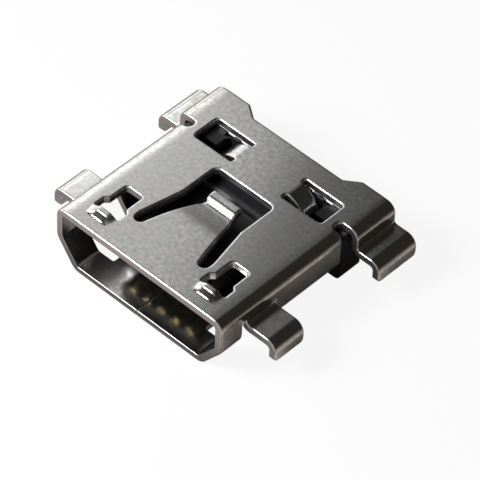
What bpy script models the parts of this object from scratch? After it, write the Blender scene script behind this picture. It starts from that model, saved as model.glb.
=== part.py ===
"""Charging port: a five-contact micro receptacle, sunk into a board cut-out.

The shell is one blank of plated steel, stamped and folded shut round a moulded
insulator that carries five contacts. Lengths are in metres. X runs across the
mouth, Y runs from the mouth lip to the back and Z runs up to the wide plate.
Depths are measured from the lip, and the empty "port" centres the whole.
"""

import math

import bpy
import bmesh

MM = 0.001

# Shell section, seen from the mouth
SHELL_WIDTH = 7.50 * MM
SHELL_HEIGHT = 2.45 * MM
SHEET = 0.28 * MM
TOP_BEND_RADIUS = 0.38 * MM
LOWER_BEND_RADIUS = 0.46 * MM
CHAMFER_WIDTH = 0.83 * MM
CHAMFER_HEIGHT = 1.10 * MM

# Depths: side walls, then the housing block, the overhang above the tails and the ears
FIT = 0.03 * MM
WALL_DEPTH = 5.72 * MM
HOUSING_BLOCK = 0.93 * MM
PLATE_OVERHANG = 0.92 * MM
EAR_LENGTH = 0.40 * MM
HOUSING_REAR = WALL_DEPTH + FIT + HOUSING_BLOCK
PLATE_DEPTH = HOUSING_REAR + PLATE_OVERHANG
OVERALL_DEPTH = PLATE_DEPTH + EAR_LENGTH

# Seam in the narrow plate, closed by a dovetail
SEAM_GAP = 0.03 * MM
DOVETAIL_SETBACK = 1.82 * MM
DOVETAIL_NECK = 0.80 * MM
DOVETAIL_REACH = 0.55 * MM
DOVETAIL_FLARE = 0.14 * MM

# Ears and relief notches of the wide plate
EAR_INNER = 2.56 * MM
EAR_SLANT = 0.55 * MM
EAR_CORNER = 0.12 * MM
NOTCH_WIDTH = 0.40 * MM
NOTCH_RADIUS = 0.18 * MM
NOTCH_REACH = 0.50 * MM

# Board legs: both pairs end in the same flange and turned-down tip
SEAT_DROP = 1.10 * MM
LEG_TIP_REACH = 0.55 * MM
LEG_STEP_OUT = 0.32 * MM
LEG_INNER_BEND = 0.12 * MM
LEG_FLAT = 0.45 * MM
LEG_OUTER_BEND = 0.42 * MM
LEG_TIP_CORNER = 0.18 * MM
FRONT_LEG_START = 1.17 * MM
FRONT_LEG_WIDTH = 1.38 * MM
BOARD_SEAT = SHELL_HEIGHT - SEAT_DROP
LEG_TIP = BOARD_SEAT - LEG_TIP_REACH
LEG_DROP_FACE = SHELL_WIDTH / 2 + LEG_STEP_OUT
LEG_OUTER_FACE = LEG_DROP_FACE + LEG_INNER_BEND + LEG_FLAT + LEG_OUTER_BEND

# Openings in the sides that the front legs were folded out of
SIDE_CUT_GAP = 0.14 * MM
SIDE_CUT_DROP = 0.63 * MM
SIDE_CUT_INNER = 2.10 * MM

# Latch windows, and the hump ahead of each
LATCH_MIDDLE = 2.41 * MM
LATCH_FRONT = 0.98 * MM
LATCH_WIDE_LENGTH = 0.48 * MM
LATCH_NARROW_LENGTH = 0.86 * MM
LATCH_WIDTH = 1.04 * MM
LATCH_STEP = 0.15 * MM
LATCH_CORNER = 0.12 * MM
HUMP_WIDTH = 0.96 * MM
HUMP_LENGTH = 0.50 * MM
HUMP_RAMP = 0.34 * MM
HUMP_SIDE = 0.28 * MM
HUMP_RISE = 0.13 * MM
HUMP_BEND = 0.20 * MM

# Spring cut free from the wide plate by a slot in the shape of a gate
SLOT_TOE_DEPTH = 1.42 * MM
SLOT_TOE_RADIUS = 0.19 * MM
SLOT_SIDE_GAP = 0.54 * MM
SLOT_END_GAP = 0.82 * MM
SLOT_CORNER = 0.22 * MM
SPRING_ROOT_HALF_WIDTH = 1.26 * MM
SPRING_NECK_HALF_WIDTH = 0.76 * MM
SPRING_TIP_HALF_WIDTH = 0.63 * MM
SPRING_TAPER_LENGTH = 1.84 * MM
SPRING_NECK_LENGTH = 0.31 * MM
SPRING_TIP_LENGTH = 0.48 * MM
SPRING_SAG = 0.28 * MM
SPRING_TIP_RISE = 0.02 * MM
SPRING_BEND = 0.16 * MM
SPRING_ROOT = SLOT_TOE_DEPTH + SLOT_TOE_RADIUS
SPRING_NECK = SPRING_ROOT + SPRING_TAPER_LENGTH
SPRING_LOW = SPRING_NECK + SPRING_NECK_LENGTH
SPRING_END = SPRING_LOW + SPRING_TIP_LENGTH

# Rear windows over the housing, each with a tab folded down into it
WINDOW_INNER = 1.15 * MM
WINDOW_WIDTH = 1.72 * MM
WINDOW_LENGTH = 1.16 * MM
WINDOW_PAST_HOUSING = 0.06 * MM
WINDOW_CORNER = 0.13 * MM
TAB_NOTCH = 0.20 * MM
TAB_REACH = 0.40 * MM
TAB_BEND = 0.08 * MM
WINDOW_REAR = HOUSING_REAR + WINDOW_PAST_HOUSING
WINDOW_FRONT = WINDOW_REAR - WINDOW_LENGTH

# Insulator
HOUSING_PLUG = 0.62 * MM
HOUSING_SIDE_STEP = 0.05 * MM
HOUSING_BOTTOM = 0.18 * MM
HOUSING_CORNER = 0.22 * MM
HOUSING_TOP_CORNER = 0.10 * MM
HOUSING_FACE = WALL_DEPTH - HOUSING_PLUG
HOUSING_TOP = SHELL_HEIGHT - SHEET - FIT
TONGUE_FRONT = 1.05 * MM
TONGUE_MARGIN = 0.32 * MM
TONGUE_DROP = 0.38 * MM
TONGUE_THICKNESS = 0.61 * MM
TONGUE_TOP = SHELL_HEIGHT - SHEET - TONGUE_DROP
TONGUE_BOTTOM = TONGUE_TOP - TONGUE_THICKNESS
TONGUE_NOSE = 0.14 * MM
TONGUE_ROOT_LENGTH = 0.35 * MM
TONGUE_ROOT_RISE = 0.12 * MM
TAB_POCKET_SLACK = 0.10 * MM
VENT_WIDTH = 0.33 * MM
VENT_SPACING = 0.60 * MM
VENT_OFFSET = 0.77 * MM
VENT_LENGTH = 0.26 * MM
VENT_HEIGHT = 0.16 * MM

# Contacts
CONTACT_COUNT = 5
CONTACT_PITCH = 0.65 * MM
CONTACT_WIDTH = 0.36 * MM
CONTACT_SHEET = 0.15 * MM
CONTACT_SETBACK = 0.23 * MM
CONTACT_STEP_START = 0.23 * MM
CONTACT_STEP_LENGTH = 0.30 * MM
CONTACT_STEP_BEND = 0.20 * MM
TAIL_LENGTH = 1.04 * MM

ARC_STEPS = 6
OVERLAP = 0.25 * MM
DIGITS_KEPT = 9


def clear_scene():
    for obj in list(bpy.data.objects):
        bpy.data.objects.remove(obj, do_unlink=True)


def principled(name, colour, metallic, roughness):
    material = bpy.data.materials.new(name)
    material.use_nodes = True
    shader = material.node_tree.nodes["Principled BSDF"]
    shader.inputs["Base Color"].default_value = (*colour, 1.0)
    shader.inputs["Metallic"].default_value = metallic
    shader.inputs["Roughness"].default_value = roughness
    return material


def unit(u, v):
    length = math.hypot(u, v)
    return u / length, v / length


def corner_arc(before, corner, after, radius, steps=ARC_STEPS):
    """Points and left-hand normals of the arc that rounds one corner of a route."""
    in_u, in_v = unit(corner[0] - before[0], corner[1] - before[1])
    out_u, out_v = unit(after[0] - corner[0], after[1] - corner[1])
    turn = math.atan2(in_u * out_v - in_v * out_u, in_u * out_u + in_v * out_v)
    if radius <= 0 or abs(turn) < 1e-6:
        mid_u, mid_v = unit(in_u + out_u, in_v + out_v)
        widen = 1 / max(math.cos(turn / 2), 0.1)
        return [(corner[0], corner[1], -mid_v * widen, mid_u * widen)]
    side = math.copysign(1.0, turn)
    setback = radius * math.tan(abs(turn) / 2)
    centre_u = corner[0] - in_u * setback - in_v * side * radius
    centre_v = corner[1] - in_v * setback + in_u * side * radius
    points = []
    for step in range(steps + 1):
        angle = turn * step / steps
        normal_u = -in_v * math.cos(angle) - in_u * math.sin(angle)
        normal_v = in_u * math.cos(angle) - in_v * math.sin(angle)
        points.append((centre_u - side * radius * normal_u, centre_v - side * radius * normal_v,
                       normal_u, normal_v))
    return points


def rounded_outline(corners, steps=ARC_STEPS):
    """Closed outline through (u, v, radius) corners, each rounded by an arc."""
    outline = []
    for index, corner in enumerate(corners):
        after = corners[(index + 1) % len(corners)]
        for u, v, _, _ in corner_arc(corners[index - 1], corner, after, corner[2], steps):
            outline.append((u, v))
    return outline


def inset_corners(corners, distance):
    """Corners of a counter-clockwise outline moved in by a distance, radii included."""
    moved = []
    for index, (u, v, radius) in enumerate(corners):
        before = corners[index - 1]
        after = corners[(index + 1) % len(corners)]
        in_u, in_v = unit(u - before[0], v - before[1])
        out_u, out_v = unit(after[0] - u, after[1] - v)
        share = distance / (1 + in_u * out_u + in_v * out_v)
        moved.append((u - (in_v + out_v) * share, v + (in_u + out_u) * share,
                      max(radius - distance, 0.0)))
    return moved


def strip_outline(route, thickness, steps=ARC_STEPS):
    """Edge-on outline of a bent strip whose mid-line runs through (u, v, radius) corners."""
    middle = []
    for index, corner in enumerate(route):
        if index == 0:
            run_u, run_v = unit(route[1][0] - corner[0], route[1][1] - corner[1])
            middle.append((corner[0], corner[1], -run_v, run_u))
        elif index == len(route) - 1:
            run_u, run_v = unit(corner[0] - route[-2][0], corner[1] - route[-2][1])
            middle.append((corner[0], corner[1], -run_v, run_u))
        else:
            middle += corner_arc(route[index - 1], corner, route[index + 1], corner[2], steps)
    half = thickness / 2
    left = [(u + half * nu, v + half * nv) for u, v, nu, nv in middle]
    right = [(u - half * nu, v - half * nv) for u, v, nu, nv in middle]
    return right + left[::-1]


def mirrored(half_corners):
    """Closed corners from the +X half of a symmetric outline."""
    return half_corners + [(-u, v, radius) for u, v, radius in reversed(half_corners)]


def flipped(corners):
    """The same corners on the -X side, still running the same way round."""
    return [(-u, v, radius) for u, v, radius in reversed(corners)]


def rectangle(low_u, high_u, low_v, high_v, radius=0.0):
    return [(low_u, low_v, radius), (high_u, low_v, radius), (high_u, high_v, radius),
            (low_u, high_v, radius)]


def prism(name, outline, along, start, end):
    """Solid made by pushing a closed outline along X, Y or Z from start to end.

    Coordinates keep nine digits, so faces that are meant to be flush are flush.
    """
    places = {
        "X": lambda u, v, w: (w, u, v),
        "Y": lambda u, v, w: (u, w, v),
        "Z": lambda u, v, w: (u, v, w),
    }
    work = bmesh.new()
    ring = []
    for u, v in outline:
        point = places[along](u, v, start)
        ring.append(work.verts.new([round(value, DIGITS_KEPT) for value in point]))
    pushed = bmesh.ops.extrude_face_region(work, geom=[work.faces.new(ring)])
    for item in pushed["geom"]:
        if isinstance(item, bmesh.types.BMVert):
            item.co["XYZ".index(along)] = round(end, DIGITS_KEPT)
    bmesh.ops.recalc_face_normals(work, faces=work.faces)
    mesh = bpy.data.meshes.new(name)
    work.to_mesh(mesh)
    work.free()
    obj = bpy.data.objects.new(name, mesh)
    bpy.context.scene.collection.objects.link(obj)
    return obj


def combine(target, tool, operation):
    """Applies one exact Boolean to the target and removes the tool."""
    tool.hide_render = True
    tool.display_type = "WIRE"
    modifier = target.modifiers.new(tool.name, "BOOLEAN")
    modifier.operation = operation
    modifier.solver = "EXACT"
    modifier.object = tool
    graph = bpy.context.evaluated_depsgraph_get()
    result = bpy.data.meshes.new_from_object(target.evaluated_get(graph))
    target.modifiers.clear()
    target.data = result
    bpy.data.objects.remove(tool, do_unlink=True)
    return target


def cut(target, tool):
    return combine(target, tool, "DIFFERENCE")


def join(target, tool):
    return combine(target, tool, "UNION")


def keep(target, tool):
    return combine(target, tool, "INTERSECT")


def finish(obj, material, parent):
    obj.data.materials.clear()
    obj.data.materials.append(material)
    obj.data.shade_smooth()
    obj.data.set_sharp_from_angle(angle=math.radians(30))
    obj.parent = parent
    return obj


def section_corners():
    """Outer corners of the shell's section: wide on top, chamfered underneath."""
    half = SHELL_WIDTH / 2
    foot = half - CHAMFER_WIDTH
    return [
        (-foot, 0.0, LOWER_BEND_RADIUS),
        (foot, 0.0, LOWER_BEND_RADIUS),
        (half, CHAMFER_HEIGHT, LOWER_BEND_RADIUS),
        (half, SHELL_HEIGHT, TOP_BEND_RADIUS),
        (-half, SHELL_HEIGHT, TOP_BEND_RADIUS),
        (-half, CHAMFER_HEIGHT, LOWER_BEND_RADIUS),
    ]


def folded_ring():
    """The closed tube of the shell, from the lip to the end of the side walls."""
    outer = prism("shell", rounded_outline(section_corners()), "Y", 0.0, WALL_DEPTH)
    hollow = rounded_outline(inset_corners(section_corners(), SHEET))
    return cut(outer, prism("hollow", hollow, "Y", -OVERLAP, WALL_DEPTH + OVERLAP))


def seam_cutter():
    """The joint where the blank's two ends meet, with its dovetail lock."""
    middle = WALL_DEPTH - DOVETAIL_SETBACK
    near = middle - DOVETAIL_NECK / 2
    far = middle + DOVETAIL_NECK / 2
    route = [
        (0.0, -OVERLAP, 0.0),
        (0.0, near, 0.0),
        (DOVETAIL_REACH, near - DOVETAIL_FLARE, 0.0),
        (DOVETAIL_REACH, far + DOVETAIL_FLARE, 0.0),
        (0.0, far, 0.0),
        (0.0, WALL_DEPTH + OVERLAP, 0.0),
    ]
    return prism("seam", strip_outline(route, SEAM_GAP), "Z", -SHEET, 2 * SHEET)


def side_cutter(side):
    """The opening that a front leg was folded out of: wall, chamfer and plate edge."""
    low, high = sorted((side * SIDE_CUT_INNER, side * SHELL_WIDTH))
    block = rectangle(low, high, -SHEET, SHELL_HEIGHT - SIDE_CUT_DROP)
    start = FRONT_LEG_START - SIDE_CUT_GAP
    end = FRONT_LEG_START + FRONT_LEG_WIDTH + SIDE_CUT_GAP
    return prism("side cut", rounded_outline(block), "Y", start, end)


def folded_leg(name, side, root, start, end):
    """A leg: its root corners, then the flange over the board and the turned-down tip."""
    flange = BOARD_SEAT + SHEET / 2
    outer = LEG_OUTER_FACE - SHEET / 2
    route = root + [(outer, flange, LEG_OUTER_BEND - SHEET / 2), (outer, LEG_TIP - SHEET, 0.0)]
    route = [(side * u, v, radius) for u, v, radius in route]
    leg = prism(name, strip_outline(route, SHEET), "Y", start, end)
    above = SHELL_HEIGHT + SHEET
    tip = [(start, LEG_TIP, LEG_TIP_CORNER), (end, LEG_TIP, LEG_TIP_CORNER), (end, above, 0.0),
           (start, above, 0.0)]
    low, high = sorted((0.0, side * (LEG_OUTER_FACE + OVERLAP)))
    return keep(leg, prism("tip outline", rounded_outline(tip), "X", low, high))


def front_leg(side):
    """Leg that comes down with the side wall, then turns out over the board."""
    wall = (SHELL_WIDTH - SHEET) / 2
    root = [(wall, SHELL_HEIGHT - TOP_BEND_RADIUS, 0.0),
            (wall, BOARD_SEAT + SHEET / 2, LEG_INNER_BEND + SHEET / 2)]
    return folded_leg("front leg", side, root, FRONT_LEG_START, FRONT_LEG_START + FRONT_LEG_WIDTH)


def rear_leg(side):
    """Leg that runs out flat from the wide plate, steps down, then meets the board."""
    drop = LEG_DROP_FACE - SHEET / 2
    plate = SHELL_HEIGHT - SHEET / 2
    root = [(SHELL_WIDTH / 2 - NOTCH_REACH - OVERLAP, plate, 0.0),
            (drop, plate, TOP_BEND_RADIUS - SHEET / 2),
            (drop, BOARD_SEAT + SHEET / 2, LEG_INNER_BEND + SHEET / 2)]
    return folded_leg("rear leg", side, root, WALL_DEPTH + NOTCH_WIDTH, OVERALL_DEPTH)


def rear_plate():
    """The wide plate behind the side walls, with its ears and relief notches."""
    root = SHELL_WIDTH / 2 - TOP_BEND_RADIUS
    notch = SHELL_WIDTH / 2 - NOTCH_REACH
    notch_end = WALL_DEPTH + NOTCH_WIDTH
    corners = mirrored([
        (root - OVERLAP, WALL_DEPTH - OVERLAP, 0.0),
        (root - OVERLAP, WALL_DEPTH, 0.0),
        (notch, WALL_DEPTH, NOTCH_RADIUS),
        (notch, notch_end, NOTCH_RADIUS),
        (SHELL_WIDTH / 2, notch_end, 0.0),
        (SHELL_WIDTH / 2, OVERALL_DEPTH, 0.0),
        (EAR_INNER, OVERALL_DEPTH, EAR_CORNER),
        (EAR_INNER - EAR_SLANT, PLATE_DEPTH, EAR_CORNER),
    ])
    return prism("rear plate", rounded_outline(corners), "Z", SHELL_HEIGHT - SHEET, SHELL_HEIGHT)


def plate_cutter(name, corners):
    """A punch right through the wide plate."""
    return prism(name, rounded_outline(corners), "Z", SHELL_HEIGHT - 1.5 * SHEET,
                 SHELL_HEIGHT + SHEET)


def latch_corners():
    """Window for the plug's hook: wide in front, stepped in behind."""
    wide = LATCH_WIDTH / 2
    narrow = wide - LATCH_STEP
    step_start = LATCH_FRONT + LATCH_WIDE_LENGTH - LATCH_STEP / 2
    step_end = step_start + LATCH_STEP
    rear = LATCH_FRONT + LATCH_WIDE_LENGTH + LATCH_NARROW_LENGTH
    half = [
        (wide, LATCH_FRONT, LATCH_CORNER / 2),
        (wide, step_start, LATCH_CORNER / 2),
        (narrow, step_end, LATCH_CORNER / 2),
        (narrow, rear, LATCH_CORNER),
    ]
    return [(LATCH_MIDDLE + u, v, radius) for u, v, radius in mirrored(half)]


def hump(name, middle, drop):
    """Dome pressed up ahead of a latch window: sloped in front and at both ends."""
    base = SHELL_HEIGHT - SHEET / 2 - drop
    plate = SHELL_HEIGHT - drop
    top = plate + HUMP_RISE
    half = HUMP_WIDTH / 2
    start = LATCH_FRONT - HUMP_LENGTH
    back = LATCH_FRONT + SHEET
    side = [(start, base, 0.0), (back, base, 0.0), (back, top, 0.0),
            (start + HUMP_RAMP, top, HUMP_BEND), (start, plate, 0.0)]
    front = [(middle - half, base, 0.0), (middle + half, base, 0.0), (middle + half, plate, 0.0),
             (middle + half - HUMP_SIDE, top, HUMP_BEND),
             (middle - half + HUMP_SIDE, top, HUMP_BEND), (middle - half, plate, 0.0)]
    dome = prism(name, rounded_outline(side), "X", middle - SHELL_WIDTH, middle + SHELL_WIDTH)
    return keep(dome, prism("hump front", rounded_outline(front), "Y", 0.0, back + OVERLAP))


def slot_corners():
    """Everything the spring's slot frees: the gate-shaped slot and the spring's own area."""
    inner = SPRING_ROOT_HALF_WIDTH
    outer = inner + 2 * SLOT_TOE_RADIUS
    side = SPRING_NECK_HALF_WIDTH + SLOT_SIDE_GAP
    return mirrored([
        (inner, SPRING_ROOT, 0.0),
        (inner, SLOT_TOE_DEPTH, SLOT_TOE_RADIUS),
        (outer, SLOT_TOE_DEPTH, SLOT_TOE_RADIUS),
        (outer, SLOT_TOE_DEPTH + 2 * SLOT_TOE_RADIUS, SLOT_TOE_RADIUS),
        (side, SPRING_NECK, SLOT_CORNER),
        (side, SPRING_END + SLOT_END_GAP, SLOT_CORNER),
    ])


def spring():
    """Plug spring: slopes into the mouth, then turns up at its free end."""
    plate = SHELL_HEIGHT - SHEET / 2
    route = [
        (SPRING_ROOT - OVERLAP, plate, 0.0),
        (SPRING_ROOT, plate, SPRING_BEND),
        (SPRING_LOW, plate - SPRING_SAG, SPRING_BEND),
        (SPRING_END + SHEET, plate + SPRING_TIP_RISE, 0.0),
    ]
    edge = SPRING_ROOT_HALF_WIDTH
    strip = prism("spring", strip_outline(route, SHEET), "X", -edge, edge)
    plan = mirrored([
        (edge, 0.0, 0.0),
        (edge, SPRING_ROOT, 0.0),
        (SPRING_NECK_HALF_WIDTH, SPRING_NECK, SLOT_CORNER),
        (SPRING_TIP_HALF_WIDTH, SPRING_LOW, SLOT_CORNER),
        (SPRING_TIP_HALF_WIDTH, SPRING_END, EAR_CORNER / 2),
    ])
    return keep(strip, prism("spring plan", rounded_outline(plan), "Z", 0.0, 2 * SHELL_HEIGHT))


def window_corners():
    """Rear window through which the housing and its locking tab are seen."""
    return rectangle(WINDOW_INNER, WINDOW_INNER + WINDOW_WIDTH, WINDOW_FRONT, WINDOW_REAR,
                     WINDOW_CORNER)


def locking_tab(side):
    """Tab folded down from a rear window's inner edge to hold the insulator."""
    plate = SHELL_HEIGHT - SHEET / 2
    middle = WINDOW_INNER + TAB_BEND + SHEET / 2
    route = [(WINDOW_INNER - OVERLAP, plate, 0.0), (middle, plate, TAB_BEND + SHEET / 2),
             (middle, SHELL_HEIGHT - SHEET - TAB_REACH, 0.0)]
    route = [(side * u, v, radius) for u, v, radius in route]
    return prism("locking tab", strip_outline(route, SHEET), "Y",
                 WINDOW_FRONT + TAB_NOTCH, WINDOW_REAR - TAB_NOTCH)


def make_shell(material, parent):
    shell = folded_ring()
    join(shell, rear_plate())
    for side in (1, -1):
        place = list if side > 0 else flipped
        cut(shell, side_cutter(side))
        join(shell, front_leg(side))
        join(shell, rear_leg(side))
        join(shell, hump("hump", side * LATCH_MIDDLE, 0.0))
        cut(shell, hump("hump hollow", side * LATCH_MIDDLE, SHEET))
        cut(shell, plate_cutter("latch window", place(latch_corners())))
        cut(shell, plate_cutter("rear window", place(window_corners())))
        join(shell, locking_tab(side))
    cut(shell, plate_cutter("spring slot", slot_corners()))
    join(shell, spring())
    cut(shell, seam_cutter())
    return finish(shell, material, parent)


def contact_solid(name, middle, slack):
    """A contact, or the channel it lies in, larger all round by the slack.

    It runs along the tongue's underside, then steps up to the board plane.
    """
    tongue = TONGUE_BOTTOM + CONTACT_SHEET / 2
    tail = BOARD_SEAT + CONTACT_SHEET / 2
    step = WALL_DEPTH + CONTACT_STEP_START
    route = [
        (TONGUE_FRONT + CONTACT_SETBACK - slack, tongue, 0.0),
        (step, tongue, CONTACT_STEP_BEND),
        (step + CONTACT_STEP_LENGTH, tail, CONTACT_STEP_BEND),
        (HOUSING_REAR + TAIL_LENGTH + slack, tail, 0.0),
    ]
    half = CONTACT_WIDTH / 2 + slack
    outline = strip_outline(route, CONTACT_SHEET + 2 * slack)
    return prism(name, outline, "X", middle - half, middle + half)


def contact_places():
    first = -CONTACT_PITCH * (CONTACT_COUNT - 1) / 2
    return [first + CONTACT_PITCH * index for index in range(CONTACT_COUNT)]


def make_contacts(material, parent):
    contacts = []
    for number, middle in enumerate(contact_places(), start=1):
        contact = contact_solid(f"contact_{number}", middle, 0.0)
        contacts.append(finish(contact, material, parent))
    return contacts


def tongue_half_width():
    """The tongue reaches a margin past its outer contacts."""
    return (CONTACT_PITCH * (CONTACT_COUNT - 1) + CONTACT_WIDTH) / 2 + TONGUE_MARGIN


def tongue():
    """The blade that carries the contacts, thicker where it leaves the housing."""
    rise = TONGUE_ROOT_RISE
    root = HOUSING_FACE - TONGUE_ROOT_LENGTH
    back = HOUSING_FACE + OVERLAP
    side = [
        (TONGUE_FRONT, TONGUE_BOTTOM, TONGUE_NOSE),
        (back, TONGUE_BOTTOM, 0.0),
        (back, TONGUE_TOP + rise, 0.0),
        (root, TONGUE_TOP + rise, rise / 2),
        (root - rise, TONGUE_TOP, rise / 2),
        (TONGUE_FRONT, TONGUE_TOP, TONGUE_NOSE),
    ]
    half = tongue_half_width()
    blade = prism("tongue", rounded_outline(side), "X", -half, half)
    plan = rectangle(-half, half, TONGUE_FRONT, HOUSING_FACE + WALL_DEPTH, TONGUE_NOSE)
    return keep(blade, prism("tongue plan", rounded_outline(plan), "Z", 0.0, SHELL_HEIGHT))


def housing_block():
    """Body behind the side walls: nearly as wide as the shell, clear of the board legs."""
    half = SHELL_WIDTH / 2 - HOUSING_SIDE_STEP
    corners = [(-half, HOUSING_BOTTOM, HOUSING_CORNER), (half, HOUSING_BOTTOM, HOUSING_CORNER),
               (half, HOUSING_TOP, HOUSING_TOP_CORNER), (-half, HOUSING_TOP, HOUSING_TOP_CORNER)]
    return prism("insulator", rounded_outline(corners), "Y", WALL_DEPTH + FIT, HOUSING_REAR)


def housing_plug():
    """Front of the housing, pushed into the shell's tube."""
    section = rounded_outline(inset_corners(section_corners(), SHEET + FIT))
    return prism("housing plug", section, "Y", HOUSING_FACE, WALL_DEPTH + OVERLAP)


def tab_pocket(side):
    """Slot in the top of the housing that a locking tab drops into."""
    slack = TAB_POCKET_SLACK
    low, high = sorted((side * (WINDOW_INNER - slack),
                        side * (WINDOW_INNER + TAB_BEND + SHEET + slack)))
    plan = rectangle(low, high, WINDOW_FRONT + TAB_NOTCH - slack, WINDOW_REAR - TAB_NOTCH + slack,
                     slack / 2)
    floor = SHELL_HEIGHT - SHEET - TAB_REACH - slack
    return prism("tab pocket", rounded_outline(plan), "Z", floor, SHELL_HEIGHT)


def vent(middle):
    """Small open slot in the housing's rear top edge, under the plate."""
    plan = rectangle(middle - VENT_WIDTH / 2, middle + VENT_WIDTH / 2,
                     HOUSING_REAR - VENT_LENGTH, HOUSING_REAR + OVERLAP)
    return prism("vent", rounded_outline(plan), "Z", HOUSING_TOP - VENT_HEIGHT,
                 HOUSING_TOP + OVERLAP)


def make_insulator(material, parent):
    insulator = housing_block()
    join(insulator, housing_plug())
    join(insulator, tongue())
    for side in (1, -1):
        cut(insulator, tab_pocket(side))
        for offset in (-VENT_SPACING / 2, VENT_SPACING / 2):
            cut(insulator, vent(side * (WINDOW_INNER + VENT_OFFSET + offset)))
    for middle in contact_places():
        cut(insulator, contact_solid("channel", middle, FIT))
    return finish(insulator, material, parent)


def main():
    clear_scene()
    plated_steel = principled("plated_steel", (0.60, 0.58, 0.56), 1.0, 0.32)
    black_resin = principled("black_resin", (0.015, 0.015, 0.018), 0.0, 0.42)
    gold_plate = principled("gold_plate", (0.85, 0.62, 0.25), 1.0, 0.28)
    port = bpy.data.objects.new("port", None)
    port.location = (0.0, -OVERALL_DEPTH / 2, 0.0)
    bpy.context.scene.collection.objects.link(port)
    make_shell(plated_steel, port)
    make_insulator(black_resin, port)
    make_contacts(gold_plate, port)


main()
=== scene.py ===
"""Studio scene of a small charging port: folded steel shell, black housing, gold contacts.

Every piece starts as a blank: a flat outline with its holes, a thickness and softened
edges. A map then takes each point of the blank, u and v across it and w through its
thickness, to its place on the real piece: round the shell's bends, down a leg or
straight up a moulded block. Sizes are in millimetres until a mesh is made. X runs
across the mouth, Y from the mouth lip to the back and Z up to the wide plate.
"""

import logging
import math
from collections.abc import Callable
from dataclasses import dataclass, field
from enum import Enum

import bpy
import numpy as np
from mathutils import Matrix, Vector
from mathutils.geometry import delaunay_2d_cdt


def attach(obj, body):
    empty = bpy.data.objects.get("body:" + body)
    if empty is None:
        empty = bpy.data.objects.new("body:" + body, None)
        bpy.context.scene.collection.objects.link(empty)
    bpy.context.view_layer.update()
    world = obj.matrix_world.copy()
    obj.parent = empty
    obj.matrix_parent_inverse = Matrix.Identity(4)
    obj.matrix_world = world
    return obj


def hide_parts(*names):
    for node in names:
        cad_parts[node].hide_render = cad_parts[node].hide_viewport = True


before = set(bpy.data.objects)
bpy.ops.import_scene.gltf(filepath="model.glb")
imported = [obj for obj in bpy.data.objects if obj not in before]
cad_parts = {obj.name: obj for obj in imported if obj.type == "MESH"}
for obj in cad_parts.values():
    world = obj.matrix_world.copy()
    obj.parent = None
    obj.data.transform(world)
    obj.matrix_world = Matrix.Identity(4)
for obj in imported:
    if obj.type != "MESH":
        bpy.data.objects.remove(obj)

Array = np.ndarray
Corner = tuple[float, float, float]
Triple = tuple[float, float, float]
Fold = Callable[[Array], Array]
Output = bpy.types.NodeSocket
Object = bpy.types.Object
Material = bpy.types.Material

MM = 0.001  # metres in a millimetre, the unit of every length below but GRAIN_DEPTH
HALF_DEPTH = 4.0  # from the lip to the object's middle
TINY = 1e-9  # what counts as nought
SAME_PLACE = 1e-5  # rim points closer than this are one
MERGE = 1e-7  # the filling's own measure for that
HAIR = 0.001  # just past a line
RIM_STEP = 0.055  # longest step along an outline
RIM_TURN = math.radians(15)  # largest turn in a step of a rounded corner
KEEP_OFF = 0.45 * RIM_STEP  # room between the rim and the points inside
BEND_TURN = math.radians(8)  # largest turn in a step over a bend
SLOPE_STEP = 0.035  # rows on a hump's slope
HUMP_STEP = 0.016  # rows on its two steps
SUPPORT = 0.03  # from a bend or a soft edge to the next points, which keep the flat flat
EDGE_LINE = 0.12  # share of the thickness from a soft edge to the next line of the rim
SHARP_TURN = math.radians(40)  # edges that turn more aren't shaded smooth
CHUNK = 2000  # points that are tested at a time
GRAIN_DEPTH = 0.01 * MM  # depth of the bumps, in metres

log = logging.getLogger("charging_port")


class Axis(Enum):
    """A world axis, by the name of its output on a shader node."""

    X = "X"
    Y = "Y"
    Z = "Z"


class Slot(Enum):
    """The record's material slots."""

    STEEL = "plated_steel"
    RESIN = "black_resin"
    GOLD = "gold_plate"


# Shapes: routes, rims and blanks


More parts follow.
